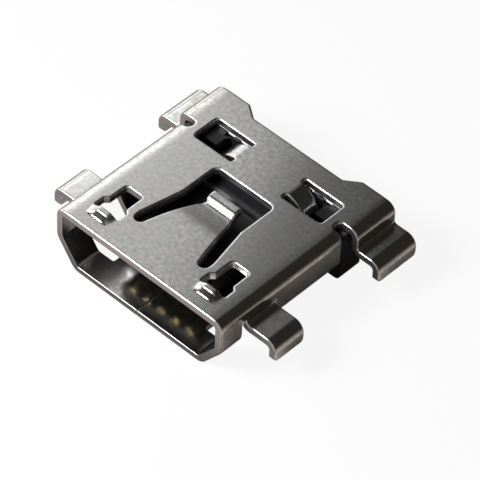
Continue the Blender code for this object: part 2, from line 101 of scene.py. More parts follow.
class Route:
    """Mid-line of a bent strip: straight runs joined by round bends.

    A point is found by its length along the line. Within a run or a bend of curvature k
    that starts at p in direction d with left-hand normal n, the point at length l is
    p + d sin(kl)/k + n (1 - cos(kl))/k, and p + d l where the curvature is nought.
    """

    def __init__(self, corners: list[Corner]) -> None:
        """Works out the runs and bends.

        Args:
            corners: (a, b, bend radius) of each corner, the first and last being ends.
        """
        points = np.array([corner[:2] for corner in corners])
        radii = np.array([corner[2] for corner in corners[1:-1]])
        steps = np.diff(points, axis=0)
        lengths = np.hypot(steps[:, 0], steps[:, 1])
        along = steps / lengths[:, None]
        turns = signed_turns(along[:-1], along[1:])
        self.setbacks = radii * np.tan(np.abs(turns) / 2)
        runs = lengths - np.append(0.0, self.setbacks) - np.append(self.setbacks, 0.0)
        self.first = woven(points[:-1] + along * np.append(0.0, self.setbacks)[:, None],
                           points[1:-1] - along[:-1] * self.setbacks[:, None])
        self.along = woven(along, along[:-1])
        self.curvature = woven(np.zeros(len(runs)), np.sign(turns) / np.maximum(radii, TINY))
        self.begins = np.append(0.0, np.cumsum(woven(runs, radii * np.abs(turns))))

    @property
    def length(self) -> float:
        """Whole length of the line."""
        return float(self.begins[-1])

    def bend(self, corner: int) -> tuple[float, float]:
        """Lengths at which the bend of a corner starts and ends."""
        return float(self.begins[2 * corner - 1]), float(self.begins[2 * corner])

    def ahead_of(self, corner: int, distance: float) -> float:
        """Length at the point of a run that lies a distance ahead of the sharp corner."""
        return float(self.begins[2 * corner - 1] + self.setbacks[corner - 1] - distance)

    def at(self, lengths: Array) -> tuple[Array, Array, Array, Array]:
        """Finds points and left-hand normals; both end runs go on straight.

        Args:
            lengths: lengths along the line.

        Returns:
            The two coordinates and the two parts of the normal.
        """
        piece = np.clip(np.searchsorted(self.begins, lengths) - 1, 0, len(self.curvature) - 1)
        run = lengths - self.begins[piece]
        curve = self.curvature[piece]
        straight = np.abs(curve) < TINY
        safe = np.where(straight, 1.0, curve)
        forward = np.where(straight, run, np.sin(safe * run) / safe)
        aside = np.where(straight, 0.0, (1 - np.cos(safe * run)) / safe)
        da, db = self.along[piece].T
        pa, pb = self.first[piece].T
        sine, cosine = np.sin(curve * run), np.cos(curve * run)
        return (pa + forward * da - aside * db, pb + forward * db + aside * da,
                -sine * da - cosine * db, -sine * db + cosine * da)


def woven(runs: Array, bends: Array) -> Array:
    """Rows for runs and bends by turns, with a run first and last.

    Args:
        runs: a row for each run.
        bends: a row for each bend, one fewer.

    Returns:
        All rows in the order of the line.
    """
    rows = np.empty((len(runs) + len(bends), *runs.shape[1:]))
    rows[0::2], rows[1::2] = runs, bends
    return rows


def signed_turns(before: Array, after: Array) -> Array:
    """Angles from each direction to the next, positive to the left."""
    cross = before[:, 0] * after[:, 1] - before[:, 1] * after[:, 0]
    return np.arctan2(cross, np.sum(before * after, axis=1))


def falling(angle: float) -> Array:
    """Direction that falls by an angle from level, as u and v."""
    return np.array([math.cos(angle), -math.sin(angle)])


def mirrored(half: list[Corner]) -> list[Corner]:
    """Adds the mirror image of a half outline, run the other way."""
    return half + flipped(half)


def flipped(corners: list[Corner]) -> list[Corner]:
    """The same outline on the -u side, with the material on the same hand."""
    return [(-u, v, radius) for u, v, radius in reversed(corners)]


def shifted(corners: list[Corner], aside: float) -> list[Corner]:
    """The same outline, moved along u."""
    return [(u + aside, v, radius) for u, v, radius in corners]


def spaced(start: float, end: float, count: int) -> Array:
    """Even places over a bend, and one in the run on either side that keeps it straight."""
    return np.concatenate([[start - SUPPORT], np.linspace(start, end, count), [end + SUPPORT]])


def box_corners(low_u: float, high_u: float, low_v: float, high_v: float,
                radius: float = 0.0) -> list[Corner]:
    """Anticlockwise corners of a rectangle."""
    return [(low_u, low_v, radius), (high_u, low_v, radius), (high_u, high_v, radius),
            (low_u, high_v, radius)]


def sides_of(corners: list[Corner]) -> tuple[Array, Array, Array]:
    """Points and radii of the corners of a closed outline, and the direction of each side.

    Args:
        corners: the outline.

    Returns:
        The points, the radii, and the unit direction from each point to the next.
    """
    points = np.array([corner[:2] for corner in corners])
    sides = np.roll(points, -1, axis=0) - points
    along = sides / np.hypot(sides[:, 0], sides[:, 1])[:, None]
    return points, np.array([corner[2] for corner in corners]), along


def inset(corners: list[Corner], distance: float) -> list[Corner]:
    """An anticlockwise outline moved in by a distance, its radii too.

    A corner moves by the sum of its two sides' left normals a and b, times d / (1 + a.b).

    Args:
        corners: the outline.
        distance: how far it moves in.

    Returns:
        The smaller outline.
    """
    points, radii, along = sides_of(corners)
    left = np.column_stack([-along[:, 1], along[:, 0]])
    before = np.roll(left, 1, axis=0)
    share = distance / (1 + np.sum(before * left, axis=1))
    moved = points + (before + left) * share[:, None]
    return [(*point, max(radius - distance, 0.0)) for point, radius in zip(moved.tolist(), radii)]


def rim(corners: list[Corner]) -> Array:
    """Closed outline with rounded corners, in short steps.

    Each corner is an arc that meets both sides, each side is divided evenly, and the
    normal points to the left of the run, which is where the material lies.

    Args:
        corners: (u, v, radius) with the material on the left.

    Returns:
        Rows of u, v and the two parts of the normal, lengthened at a sharp corner so
        that an offset keeps both sides parallel.
    """
    points, radii, along = sides_of(corners)
    before = np.roll(along, 1, axis=0)
    turns = signed_turns(before, along)
    setbacks = radii * np.tan(np.abs(turns) / 2)
    rows = []
    for index, (point, radius, turn, setback) in enumerate(zip(points, radii, turns, setbacks)):
        come, go = before[index], along[index]
        left_in, left_out = np.array([-come[1], come[0]]), np.array([-go[1], go[0]])
        if radius > 0:
            count = max(3, math.ceil(abs(turn) / RIM_TURN), math.ceil(radius * abs(turn) / RIM_STEP))
            angle = np.linspace(0.0, turn, count + 1)[:, None]
            centre = point - come * setback + left_in * radius * np.sign(turn)
            normal = left_in * np.cos(angle) - come * np.sin(angle)
            rows.append(np.hstack([centre - normal * radius * np.sign(turn), normal]))
        else:
            share = (left_in + left_out) / (1 + left_in @ left_out)
            rows.append(np.concatenate([point, share])[None])
        after = (index + 1) % len(points)
        start = point + go * setback
        side = points[after] - go * setbacks[after] - start
        count = max(1, math.ceil(float(np.hypot(*side)) / RIM_STEP))
        share = np.linspace(0.0, 1.0, count + 1)[1:-1, None]
        rows.append(np.hstack([start + side * share, np.repeat(left_out[None], len(share), axis=0)]))
    rows = np.concatenate(rows)
    gaps = np.hypot(*(rows[:, :2] - np.roll(rows[:, :2], 1, axis=0)).T)
    return rows[gaps > SAME_PLACE]


def tested(points: Array, test: Callable[[Array], Array]) -> Array:
    """One truth value a point, from a test that gets some thousand points at a time."""
    parts = np.array_split(points, max(1, len(points) // CHUNK))
    return np.concatenate([test(part) for part in parts])


def inside(points: Array, loops: list[Array]) -> Array:
    """Tells which points lie in the material: an odd count of rim crossings to one side.

    Args:
        points: rows of u and v.
        loops: closed outlines.

    Returns:
        One truth value a point.
    """
    starts = np.concatenate([loop[:, :2] for loop in loops])
    ends = np.concatenate([np.roll(loop[:, :2], -1, axis=0) for loop in loops])
    rise = ends[:, 1] - starts[:, 1]
    rise = np.where(np.abs(rise) < TINY, TINY, rise)
    slope = (ends[:, 0] - starts[:, 0]) / rise

    def odd(part: Array) -> Array:
        """Tells which points have an odd count of crossings.

        Args:
            part: rows of u and v.

        Returns:
            One truth value a point.
        """
        u, v = part[:, :1], part[:, 1:]
        spans = (starts[:, 1] > v) != (ends[:, 1] > v)
        return np.sum(spans & (u < starts[:, 0] + slope * (v - starts[:, 1])), axis=1) % 2 == 1
    return tested(points, odd)


def clear_of(points: Array, rims: Array) -> Array:
    """Tells which points keep their distance from every rim point.

    Args:
        points: rows of u and v.
        rims: rows that start with u and v.

    Returns:
        One truth value a point.
    """
    def clear(part: Array) -> Array:
        """Tells which points do, by squared distances."""
        gaps = (part[:, None, 0] - rims[:, 0]) ** 2 + (part[:, None, 1] - rims[:, 1]) ** 2
        return gaps.min(axis=1) > KEEP_OFF ** 2
    return tested(points, clear)


def lattice(us: Array, vs: Array) -> Array:
    """Rows of u and v at every crossing of two sets of lines."""
    grid_u, grid_v = np.meshgrid(us, vs)
    return np.column_stack([grid_u.ravel(), grid_v.ravel()])


def skin(rims: Array, sizes: list[int], extra: Array) -> tuple[Array, Array]:
    """Fills an outline with triangles.

    The rim points and the points inside are joined so that no triangle's circle holds
    another point, and the triangles outside the material are left out.

    Args:
        rims: rows of u and v, loop after loop.
        sizes: points in each loop.
        extra: points wanted inside.

    Returns:
        All points, the rim's first, and the triangles.
    """
    cuts = np.cumsum(sizes)
    loops = np.split(rims, cuts[:-1])
    edges = []
    for end, size in zip(cuts, sizes):
        ring = np.arange(end - size, end)
        edges.append(np.column_stack([ring, np.roll(ring, -1)]))
    extra = extra[inside(extra, loops)]
    points = np.concatenate([rims, extra[clear_of(extra, rims)]])
    result = delaunay_2d_cdt([Vector(point) for point in points.tolist()],
                             np.concatenate(edges).tolist(), [], 0, MERGE)
    if len(result[0]) != len(points):
        places = [tuple(round(value, 3) for value in point) for point in result[0][len(points):]]
        raise ValueError(f"rims cross or meet, near {places}")
    triangles = np.array(result[2])
    middles = points[triangles].mean(axis=1)
    return points, triangles[inside(middles, loops)]


@dataclass
class Blank:
    """A flat outline with a thickness and softened edges, ready to be folded.

    Attributes:
        outlines: corners of each closed outline, with the material on its left.
        low: w of the lower face.
        high: w of the upper face.
        low_roll: radius of the lower edge, or 0.
        high_roll: radius of the upper edge, or 0.
        extra: points wanted inside the faces.
        steps: stretches in the quarter circle of a soft edge.
    """

    outlines: list[list[Corner]]
    low: float
    high: float
    low_roll: float = 0.0
    high_roll: float = 0.0
    extra: Array = field(default_factory=lambda: np.empty((0, 2)))
    steps: int = 4

    def roll(self, radius: float) -> tuple[Array, Array]:
        """Offsets r (1 - cos a) and drops r (1 - sin a) of a soft edge, from its face on."""
        angle = np.linspace(math.pi / 2, 0.0, self.steps + 1) if radius > 0 else np.zeros(1)
        return radius * (1 - np.cos(angle)), radius * (1 - np.sin(angle))

    def profile(self) -> tuple[Array, Array]:
        """Section of the edge, from the upper face to the lower one.

        Returns:
            Offsets into the material and heights w.
        """
        high_offset, high_drop = self.roll(self.high_roll)
        low_offset, low_drop = self.roll(self.low_roll)
        top, bottom = self.high - self.high_roll, self.low + self.low_roll
        line = (self.high - self.low - self.high_roll - self.low_roll) * EDGE_LINE
        offsets = [high_offset, [0.0, 0.0], low_offset[::-1]]
        heights = [self.high - high_drop, [top - line, bottom + line], self.low + low_drop[::-1]]
        return np.concatenate(offsets), np.concatenate(heights)

    def surface(self) -> tuple[Array, Array, list[list[int]]]:
        """Closed surface of the flat blank.

        The edge is a grid of rim points by profile points, and each face is an outline
        filled with triangles that share the grid's first or last row.

        Returns:
            Points as rows of u, v and w, a mark that is 1 on the cut edge, and the faces.
        """
        loops = [rim(corners) for corners in self.outlines]
        rims = np.concatenate(loops)
        sizes = [len(loop) for loop in loops]
        count = len(rims)
        offsets, heights = self.profile()
        grid = rims[None, :, :2] + offsets[:, None, None] * rims[None, :, 2:]
        points = np.column_stack([grid.reshape(-1, 2), np.repeat(heights, count)])
        marks = [np.repeat(np.where(offsets == 0, 1.0, 0.0), count)]
        following = np.concatenate([np.roll(ring, -1) for ring in
                                    np.split(np.arange(count), np.cumsum(sizes)[:-1])])
        level = np.arange(len(offsets) - 1)[:, None] * count
        here, there = np.arange(count) + level, following + level
        bands = np.stack([here, here + count, there + count, there], axis=-1)
        faces = bands.reshape(-1, 4).tolist()
        for row, roll, height, turn in ((0, self.high_roll, self.high, 1),
                                        (len(offsets) - 1, self.low_roll, self.low, -1)):
            near = rims[:, :2] + rims[:, 2:] * (roll + SUPPORT)
            wanted = np.unique(np.round(np.concatenate([near, self.extra]), 3), axis=0)
            filled, triangles = skin(grid[row], sizes, wanted)
            added = filled[count:]
            index = np.concatenate([np.arange(count) + row * count,
                                    np.arange(len(added)) + len(points)])
            points = np.concatenate([points, np.column_stack([added, np.full(len(added), height)])])
            marks.append(np.zeros(len(added)))
            faces += index[triangles[:, ::turn]].tolist()
        return points, np.concatenate(marks), faces

    def folded(self, name: str, fold: Fold) -> Object:
        """Makes the object, still in millimetres.

        The blank's u and v become its UV map, and the mark of the cut edge an attribute.

        Args:
            name: the object's name.
            fold: map from rows of u, v and w to rows of x, y and z.

        Returns:
            The object.
        """
        flat, marks, faces = self.surface()
        mesh = bpy.data.meshes.new(name)
        mesh.from_pydata(fold(flat).tolist(), [], faces)
        corners = np.empty(len(mesh.loops), dtype=np.int32)
        mesh.loops.foreach_get("vertex_index", corners)
        places = flat[corners, :2].astype(np.float32)
        mesh.uv_layers.new(name="Blank").data.foreach_set("uv", places.ravel())
        cut = mesh.attributes.new("cut", "FLOAT", "POINT")
        cut.data.foreach_set("value", marks.astype(np.float32))
        return linked(name, mesh)


def linked(name: str, data: bpy.types.ID) -> Object:
    """Makes an object of a mesh, lamp or camera, and puts it in the scene.

    Args:
        name: the object's name.
        data: its mesh, lamp or camera.

    Returns:
        The object.
    """
    made = bpy.data.objects.new(name, data)
    bpy.context.scene.collection.objects.link(made)
    return made


def raised(axis: Axis) -> Fold:
    """Map of a straight block: w runs up Z, or along -Y with v up Z.

    Args:
        axis: the axis that w runs along.

    Returns:
        The map.
    """
    def place(flat: Array) -> Array:
        """Puts u on X, and v and w on the other two."""
        u, v, w = flat.T
        return np.column_stack([u, v, w] if axis is Axis.Z else [u, -w, v])
    return place


def combine(target: Object, tool: Object, operation: str) -> None:
    """Applies one exact Boolean to the target and removes the tool.

    Args:
        target: the object that is changed.
        tool: the one that is joined to it or cut from it.
        operation: the modifier's word for which.
    """
    modifier = target.modifiers.new(tool.name, "BOOLEAN")
    modifier.operation, modifier.solver, modifier.object = operation, "EXACT", tool
    graph = bpy.context.evaluated_depsgraph_get()
    result = bpy.data.meshes.new_from_object(target.evaluated_get(graph))
    target.modifiers.clear()
    target.data = result
    bpy.data.objects.remove(tool, do_unlink=True)


def settle(made: Object, node: str, material: Material) -> Object:
    """Finishes a piece in millimetres that the lip's frame holds.

    Args:
        made: the object.
        node: the CAD node that it stands for.
        material: its finish.

    Returns:
        The object, at the origin, in metres, riding on the root.
    """
    mesh = made.data
    mesh.name = made.name
    mesh.transform(Matrix.Scale(MM, 4) @ Matrix.Translation((0.0, -HALF_DEPTH, 0.0)))
    mesh.materials.clear()
    mesh.materials.append(material)
    mesh.shade_smooth()
    mesh.set_sharp_from_angle(angle=SHARP_TURN)
    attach(made, "root")
    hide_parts(node)
    log.info("%s: %d points, %d faces", made.name, len(mesh.vertices), len(mesh.polygons))
    return made


# Finishes


@dataclass(frozen=True)
class Noise:
    """A noise pattern.

    Attributes:
        scale: its fineness.
        detail: octaves of finer noise.
        rough: strength of each finer octave.
        stretch: how much finer it is along each axis.
    """

    scale: float
    detail: float = 3.0
    rough: float = 0.55
    stretch: Triple = (1.0, 1.0, 1.0)


class Desk:
    """Adds and joins the shader nodes of one material or world."""

    def __init__(self, owner: Material | bpy.types.World) -> None:
        """Starts with only the owner's output and its shader.

        Args:
            owner: the new material or world.
        """
        owner.use_nodes = True
        self.owner = owner
        self.tree = owner.node_tree
        self.shader = self.tree.nodes.get("Principled BSDF")
        places = self.add("ShaderNodeTexCoord").outputs
        self.place, self.direction = places["Object"], places["Generated"]

    def add(self, kind: str, **inputs: object) -> bpy.types.Node:
        """Adds a node.

        Args:
            kind: the node's type.
            inputs: values or outputs for its inputs, with _ for a space, or its settings.

        Returns:
            The node.
        """
        node = self.tree.nodes.new(kind)
        for key, value in inputs.items():
            if hasattr(node, key) and not isinstance(value, Output):
                setattr(node, key, value)
            else:
                self.feed(node.inputs[key.replace("_", " ")], value)
        return node

    def feed(self, socket: bpy.types.NodeSocket, value: object) -> None:
        """Links an input to an output, or sets its value; a colour may lack its alpha.

        Args:
            socket: the input.
            value: an output, a number, or a colour.
        """
        if isinstance(value, Output):
            self.tree.links.new(value, socket)
        elif socket.type == "RGBA":
            socket.default_value = (*value[:3], 1.0)
        else:
            socket.default_value = value

    def dress(self, **inputs: object) -> None:
        """Sets or links inputs of the material's shader, with _ for a space."""
        for key, value in inputs.items():
            self.feed(self.shader.inputs[key.replace("_", " ")], value)

    def parts(self, source: Output) -> bpy.types.NodeOutputs:
        """The X, Y and Z of a place or a direction."""
        return self.add("ShaderNodeSeparateXYZ", Vector=source).outputs

    def noise(self, pattern: Noise, source: Output | None = None) -> Output:
        """A noise value between 0 and 1, over a source or else over the object.

        Args:
            pattern: the noise.
            source: the coordinates, if they aren't the object's own.

        Returns:
            The value's output.
        """
        source = self.place if source is None else source
        source = self.add("ShaderNodeMapping", Vector=source, Scale=pattern.stretch).outputs[0]
        return self.add("ShaderNodeTexNoise", Vector=source, Scale=pattern.scale,
                        Detail=pattern.detail, Roughness=pattern.rough).outputs["Fac"]

    def spread(self, value: Output, low: float, high: float, from_low: float = 0.3,
               from_high: float = 0.7, smooth: bool = False) -> Output:
        """A value moved to another range, and held within it.

        Args:
            value: what is moved.
            low: where from_low goes.
            high: where from_high goes.
            from_low: start of the range that it has.
            from_high: end of that range.
            smooth: whether it leaves and arrives softly.

        Returns:
            The new value's output.
        """
        kind = "SMOOTHSTEP" if smooth else "LINEAR"
        return self.add("ShaderNodeMapRange", interpolation_type=kind, Value=value,
                        From_Min=from_low, From_Max=from_high, To_Min=low, To_Max=high).outputs[0]

    def joined(self, node: bpy.types.Node, inputs: dict[int, object], output: int = 0) -> Output:
        """An output of a node, once its numbered inputs are set or linked.

        Args:
            node: the node.
            inputs: a value or an output for each input, by number.
            output: the number of the output.

        Returns:
            The output.
        """
        for index, value in inputs.items():
            self.feed(node.inputs[index], value)
        return node.outputs[output]

    def blend(self, share: object, first: object, second: object) -> Output:
        """Two colours mixed by a share."""
        node = self.add("ShaderNodeMix", data_type="RGBA")
        return self.joined(node, {0: share, 6: first, 7: second}, 2)

    def math(self, operation: str, *values: object) -> Output:
        """Result of a Math node."""
        node = self.add("ShaderNodeMath", operation=operation)
        return self.joined(node, dict(enumerate(values)))

    def cover(self, share: object, first: Output, second: Output) -> Output:
        """Two shaders mixed by a share."""
        return self.joined(self.add("ShaderNodeMixShader"), {0: share, 1: first, 2: second})

    def glow(self, strength: object) -> Output:
        """A white glow."""
        return self.add("ShaderNodeEmission", Strength=strength).outputs[0]

    def matt(self, colour: object) -> Output:
        """A matt surface."""
        return self.add("ShaderNodeBsdfDiffuse", Color=colour).outputs[0]

    def one_sided(self, shader: Output) -> None:
        """Shows a shader on the front of a face, and nothing on its back.

        Args:
            shader: what the front shows.
        """
        back = self.add("ShaderNodeNewGeometry").outputs["Backfacing"]
        clear = self.add("ShaderNodeBsdfTransparent").outputs[0]
        self.feed(self.tree.nodes["Material Output"].inputs["Surface"],
                  self.cover(back, shader, clear))
        self.tree.nodes.remove(self.shader)

    def bump(self, height: Output, strength: float, under: Output | None = None) -> Output:
        """A normal bumped by a height, over another bumped normal where one is given.

        Args:
            height: the height, between 0 and 1.
            strength: how much of it is felt.
            under: the other normal.

        Returns:
            The normal's output.
        """
        node = self.add("ShaderNodeBump", Strength=strength, Distance=GRAIN_DEPTH, Height=height)
        if under is not None:
            self.feed(node.inputs["Normal"], under)
        return node.outputs["Normal"]


@dataclass(frozen=True)
class PlatedSteel:
    """Rolled steel sheet with satin nickel plating, and sheared edges.

    Attributes:
        colour: the plating, between warm and cool clouds.
        dull: what the mottle mixes in, up to mottle_share.
        sheared: the cut edges, which are rougher by torn.
        rough: roughness from the lightest mottle to the darkest.
    """

    colour: Triple = (0.72, 0.695, 0.675)
    warm: Triple = (0.715, 0.645, 0.622)
    cool: Triple = (0.645, 0.685, 0.655)
    dull: Triple = (0.38, 0.37, 0.36)
    sheared: Triple = (0.50, 0.475, 0.50)
    clouds: Noise = Noise(900.0, 4.0)
    blush: Noise = Noise(2300.0, 3.0, 0.6, (1.0, 1.0, 1.3))
    mottle: Noise = Noise(6500.0, 1.5, 0.5)
    rolling: Noise = Noise(1.0, 4.0, 0.6, (22.0, 2.2, 1.0))
    mottle_share: float = 0.58
    mottle_bump: float = 0.003
    rolling_bump: float = 0.012
    rough: tuple[float, float] = (0.155, 0.235)
    torn: float = 0.17

    def material(self) -> Material:
        """Cloudy plating over rolling grain that follows the blank through its bends.

        Returns:
            The material.
        """
        desk = Desk(bpy.data.materials.new("plated_steel"))
        flat = desk.add("ShaderNodeUVMap", uv_map="Blank").outputs["UV"]
        cut = desk.add("ShaderNodeAttribute", attribute_name="cut").outputs["Fac"]
        mottle = desk.noise(self.mottle)
        tint = desk.blend(desk.spread(desk.noise(self.clouds), 0.0, 1.0), self.colour, self.warm)
        tint = desk.blend(desk.spread(desk.noise(self.blush), 0.0, 1.0), tint, self.cool)
        tint = desk.blend(desk.spread(mottle, 0.0, self.mottle_share), tint, self.dull)
        tint = desk.blend(cut, tint, self.sheared)
        rough = desk.math("MULTIPLY_ADD", cut, self.torn, desk.spread(mottle, *self.rough))
        normal = desk.bump(desk.noise(self.rolling, flat), self.rolling_bump)
        normal = desk.bump(mottle, self.mottle_bump, normal)
        desk.dress(Base_Color=tint, Metallic=1.0, Roughness=rough, Normal=normal)
        return desk.owner


@dataclass(frozen=True)
class BlackResin:
    """Moulded black resin with a faint flow pattern."""

    colour: Triple = (0.009, 0.009, 0.0095)
    pale: Triple = (0.014, 0.015, 0.018)
    flow: Noise = Noise(1400.0, stretch=(1.0, 1.0, 3.0))
    grain: Noise = Noise(16000.0, 2.0)
    grain_bump: float = 0.12
    rough: tuple[float, float] = (0.33, 0.45)
    gloss: float = 0.28

    def material(self) -> Material:
        """Near black, slightly glossy, with fine moulded grain.

        Returns:
            The material.
        """
        desk = Desk(bpy.data.materials.new("black_resin"))
        flow = desk.noise(self.flow)
        desk.dress(Base_Color=desk.blend(desk.spread(flow, 0.0, 1.0), self.colour, self.pale),
                   Roughness=desk.spread(flow, *self.rough), Specular_IOR_Level=self.gloss,
                   Normal=desk.bump(desk.noise(self.grain), self.grain_bump))
        return desk.owner


@dataclass(frozen=True)
class GoldPlate:
    """Copper alloy strip, gold on the tongue and tin-bright on the solder tail.

    Attributes:
        worn: what the clouds mix into the gold, up to wear.
        tail: the tin, from change_end on.
    """

    colour: Triple = (0.35, 0.285, 0.14)
    worn: Triple = (0.31, 0.25, 0.125)
    wear: float = 0.5
    tail: Triple = (0.70, 0.68, 0.63)
    clouds: Noise = Noise(2600.0)
    cloud_bump: float = 0.01
    rough: tuple[float, float] = (0.22, 0.34)
    change_start: float = 2.1
    change_end: float = 2.3

    def material(self) -> Material:
        """Gold that gives way to tin behind the housing, with faint rolling grain.

        Returns:
            The material.
        """
        desk = Desk(bpy.data.materials.new("gold_plate"))
        clouds = desk.noise(self.clouds)
        behind = desk.spread(desk.parts(desk.place)["Y"], 0.0, 1.0, self.change_start * MM,
                             self.change_end * MM)
        tint = desk.blend(desk.spread(clouds, 0.0, self.wear), self.colour, self.worn)
        desk.dress(Base_Color=desk.blend(behind, tint, self.tail), Metallic=1.0,
                   Roughness=desk.spread(clouds, *self.rough),
                   Normal=desk.bump(clouds, self.cloud_bump))
        return desk.owner


# Sub-assemblies


@dataclass
class Shell:
    """The folded steel shell: one blank, bent round the housing and locked by a dovetail."""

    width: float = 7.50
    height: float = 2.45
    sheet: float = 0.28
    top_bend: float = 0.38
    edge_width: float = 0.36
    edge_lean: float = math.radians(5)
    edge_bend: float = 3.0
    lower_bend: float = 0.46
    chamfer_width: float = 0.83
    chamfer_height: float = 1.10
    wall_depth: float = 5.72
    plate_depth: float = 7.60
    overall_depth: float = 8.00
    seam_gap: float = 0.03
    dovetail_setback: float = 1.82
    dovetail_neck: float = 0.80
    dovetail_reach: float = 0.55
    dovetail_flare: float = 0.14
    ear_inner: float = 2.56
    ear_slant: float = 0.55
    ear_corner: float = 0.12
    notch_width: float = 0.40
    notch_radius: float = 0.18
    notch_reach: float = 0.50
    board_seat: float = 1.35
    leg_tip: float = 0.80
    leg_step_out: float = 0.32
    leg_inner_bend: float = 0.12
    leg_outer_bend: float = 0.42
    leg_outer_face: float = 5.06
    leg_tip_corner: float = 0.18
    front_leg_start: float = 1.17
    front_leg_width: float = 1.38
    side_cut_gap: float = 0.14
    side_cut_drop: float = 0.63
    side_cut_inner: float = 2.10
    side_cut_corner: float = 0.063
    latch_middle: float = 2.41
    latch_front: float = 0.98
    latch_wide_length: float = 0.48
    latch_narrow_length: float = 0.86
    latch_width: float = 1.04
    latch_step: float = 0.15
    latch_corner: float = 0.12
    hump_width: float = 0.96
    hump_length: float = 0.50
    hump_step: float = 0.055
    hump_side: float = 0.26
    hump_rise: float = 0.129
    hump_margin: float = 0.10
    hump_lead: float = 0.05
    hump_detail: float = 0.38
    hump_share: float = 0.26
    hump_soft: float = 0.3
    slope_soft: float = 0.1
    end_soft: float = 0.13
    slot_toe_depth: float = 1.42
    slot_toe_radius: float = 0.19
    slot_side: float = 1.30
    slot_end: float = 5.06
    slot_corner: float = 0.22
    spring_root_half: float = 1.26
    spring_neck_half: float = 0.76
    spring_tip_half: float = 0.63
    spring_start: float = 2.56
    spring_curve: float = 6.0
    spring_neck: float = 3.45
    spring_low: float = 3.79
    spring_crest: float = 3.97
    spring_end: float = 4.26
    spring_sag: float = 0.28
    spring_dip: float = 0.01
    spring_bend: float = 0.26
    crease_shift: float = 0.02
    crease_depth: float = 0.075
    crease_width: float = 0.035
    crease_half: float = 0.70
    crease_rows: float = 0.018
    window_inner: float = 1.15
    window_outer: float = 2.87
    window_front: float = 5.58
    window_rear: float = 6.74
    window_corner: float = 0.13
    tab_notch: float = 0.20
    tab_lead: float = 0.05
    tab_end: float = 0.02
    tab_lean: float = math.radians(15)
    tab_turn: float = math.radians(66)
    tab_crease: float = 0.30
    tab_radius: float = 1.0
    edge_roll: float = 0.072
    inner_roll: float = 0.02
    small_corner: float = 0.08

    def __post_init__(self) -> None:
        """Works out the routes that the blank is folded along."""
        half, plate = self.sheet / 2, self.height - self.sheet / 2
        wall = self.width / 2 - half
        top = self.top_bend - half
        low = self.lower_bend - half
        lean = math.hypot(self.chamfer_width, self.chamfer_height)
        tilt_x, tilt_z = self.chamfer_height / lean, -self.chamfer_width / lean
        share = half / (1 + tilt_x)
        knee = self.chamfer_height - tilt_z * share
        share = half / (1 - tilt_z)
        foot = self.width / 2 - self.chamfer_width - tilt_x * share
        start = [(0.0, plate, 0.0), (wall - self.edge_width, plate, self.edge_bend)]
        corner = (wall, plate - self.edge_width * math.tan(self.edge_lean), top)
        self.tube = Route([*start, corner, (wall, knee, low), (foot, half, low),
                           (-self.width, half, 0.0)])
        self.seam = self.tube.bend(4)[1] + foot - self.tube.setbacks[3]
        seat = self.board_seat + half
        outer = self.leg_outer_face - half
        inner_bend = self.leg_inner_bend + half
        outer_bend = self.leg_outer_bend - half
        self.front_leg = Route([*start, corner, (wall, seat, inner_bend),
                                (outer, seat, outer_bend), (outer, self.leg_tip, 0.0)])
        drop = self.width / 2 + self.leg_step_out - half
        out = [(u + self.leg_step_out, z, radius) for u, z, radius in (start[1], corner)]
        self.rear_leg = Route([start[0], *out, (drop, seat, inner_bend),
                               (outer, seat, outer_bend), (outer, self.leg_tip, 0.0)])
        crease = np.array([self.window_inner + self.tab_lead, plate])
        setback = self.tab_radius * math.tan((self.tab_turn - self.tab_lean) / 2)
        knee_at = crease + (setback + self.tab_lead) * falling(self.tab_lean)
        tip_at = knee_at + (setback + self.tab_end) * falling(self.tab_turn)
        self.tab = Route([(0.0, plate, 0.0), (*crease, self.tab_crease),
                          (*knee_at, self.tab_radius), (*tip_at, 0.0)])
        self.root = self.slot_toe_depth + self.slot_toe_radius
        self.spring = Route([(0.0, plate, 0.0), (self.spring_start, plate, self.spring_curve),
                             (self.spring_low, plate - self.spring_sag, self.spring_bend),
                             (self.spring_crest, plate, self.spring_bend),
                             (self.spring_end, plate - self.spring_dip, 0.0)])
        self.crease = sum(self.spring.bend(2) + self.spring.bend(3)) / 4 + self.crease_shift
        self.leg_end = self.front_leg_start + self.front_leg_width
        self.cut_start = self.front_leg_start - self.side_cut_gap
        self.cut_end = self.leg_end + self.side_cut_gap
        self.cut_top = self.tube.ahead_of(3, self.height - self.side_cut_drop - knee)
        self.cut_far = self.seam - self.side_cut_inner
        self.notch = self.width / 2 - self.notch_reach
        self.notch_end = self.wall_depth + self.notch_width

    def section(self) -> list[Corner]:
        """Outer corners of the tube's section, anticlockwise from the lower left.

        Returns:
            Corners in X and Z.
        """
        half, foot = self.width / 2, self.width / 2 - self.chamfer_width
        return [(-foot, 0.0, self.lower_bend), (foot, 0.0, self.lower_bend),
                (half, self.chamfer_height, self.lower_bend), (half, self.height, self.top_bend),
                (-half, self.height, self.top_bend), (-half, self.chamfer_height, self.lower_bend)]

    def seam_edge(self, upward: bool) -> list[Corner]:
        """One edge of the seam, with its half of the dovetail.

        Args:
            upward: whether it runs to the back, as on the +X half, or to the lip.

        Returns:
            Corners with the material on the left.
        """
        middle = self.wall_depth - self.dovetail_setback
        near, far = middle - self.dovetail_neck / 2, middle + self.dovetail_neck / 2
        gap = self.seam_gap / 2 if upward else -self.seam_gap / 2
        small, reach = self.small_corner, self.dovetail_reach + gap
        path = [(gap, 0.0, 0.0), (gap, near - gap, small),
                (reach, near - self.dovetail_flare - gap, small),
                (reach, far + self.dovetail_flare + gap, small),
                (gap, far + gap, small), (gap, self.wall_depth, 0.0)]
        if upward:
            return [(self.seam - x, v, radius) for x, v, radius in path]
        return [(-self.seam - x, v, radius) for x, v, radius in reversed(path)]

